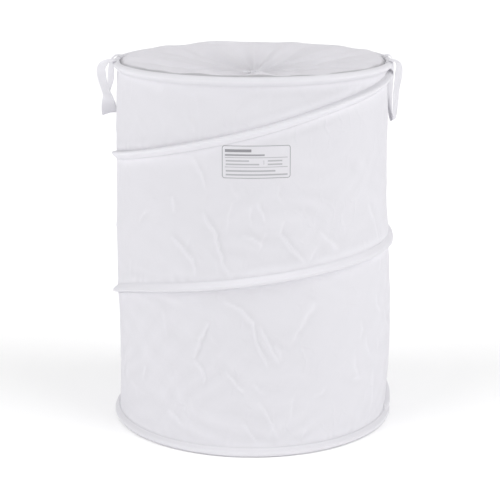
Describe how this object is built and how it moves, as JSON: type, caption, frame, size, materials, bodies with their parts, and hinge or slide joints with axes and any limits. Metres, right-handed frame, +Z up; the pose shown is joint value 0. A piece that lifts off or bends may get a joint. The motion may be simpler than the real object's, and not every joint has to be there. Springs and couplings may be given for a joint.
{
  "type": "pop up laundry hamper",
  "caption": "Round collapsible fabric laundry hamper on a wire spiral, with hoops at its rim and base, a gathered net across the mouth and two ribbon handles.",
  "frame": {"origin": "centre of the base panel's underside, on the floor", "axes": "+Z up out of the mouth, -Y towards the viewer of the picture, +X to the viewer's right, where one handle hangs"},
  "size_m": [0.4082, 0.3924, 0.5037],
  "materials": {
    "white_fabric": "thin crisp white polyester, slightly creased",
    "white_tape": "white woven binding tape, smooth and slightly brighter than the wall",
    "white_net": "fine white see-through polyester net",
    "white_ribbon": "thin flat white polyester ribbon",
    "spring_steel": "drawn spring steel wire",
    "clear_plastic": "small milky plastic caps"
  },
  "bodies": {
    "base": {"wall_fabric": "white_fabric", "side_seam_tape": "white_tape", "bottom_panel": "white_fabric", "bottom_rim_binding": "white_tape", "bottom_hoop_wire": "spring_steel", "bottom_hoop_ferrule": "spring_steel", "spiral_wire": "spring_steel", "spiral_casing": "white_tape", "spiral_lower_end_cap": "clear_plastic"},
    "top": {"top_rim_binding": "white_tape", "top_hoop_wire": "spring_steel", "top_hoop_ferrule": "spring_steel", "spiral_upper_end_cap": "clear_plastic", "mesh_collar": "white_net"},
    "hem": {"collar_hem": "white_tape"},
    "left_loop": {"left_handle": "white_ribbon"},
    "right_loop": {"right_handle": "white_ribbon"}
  },
  "joints": [
    {"name": "collapse", "type": "slide", "parent": "base", "child": "top", "axis": [0, 0, 1], "range_m": [-0.45, 0], "stiffness_N_per_m": 35, "springref_m": 0.11, "deforming": ["wall_fabric", "side_seam_tape", "spiral_wire", "spiral_casing", "left_handle", "right_handle"]},
    {"name": "collar_lift", "type": "slide", "parent": "top", "child": "hem", "axis": [0, 0, 1], "range_m": [0, 0.06], "deforming": ["mesh_collar"]},
    {"name": "left_handle_swing", "type": "hinge", "parent": "top", "child": "left_loop", "pos_m": [-0.18267, 0, 0.5009], "axis": [0, 1, 0], "range_deg": [0, 170]},
    {"name": "right_handle_swing", "type": "hinge", "parent": "top", "child": "right_loop", "pos_m": [0.18267, 0, 0.5009], "axis": [0, -1, 0], "range_deg": [0, 170]}
  ]
}
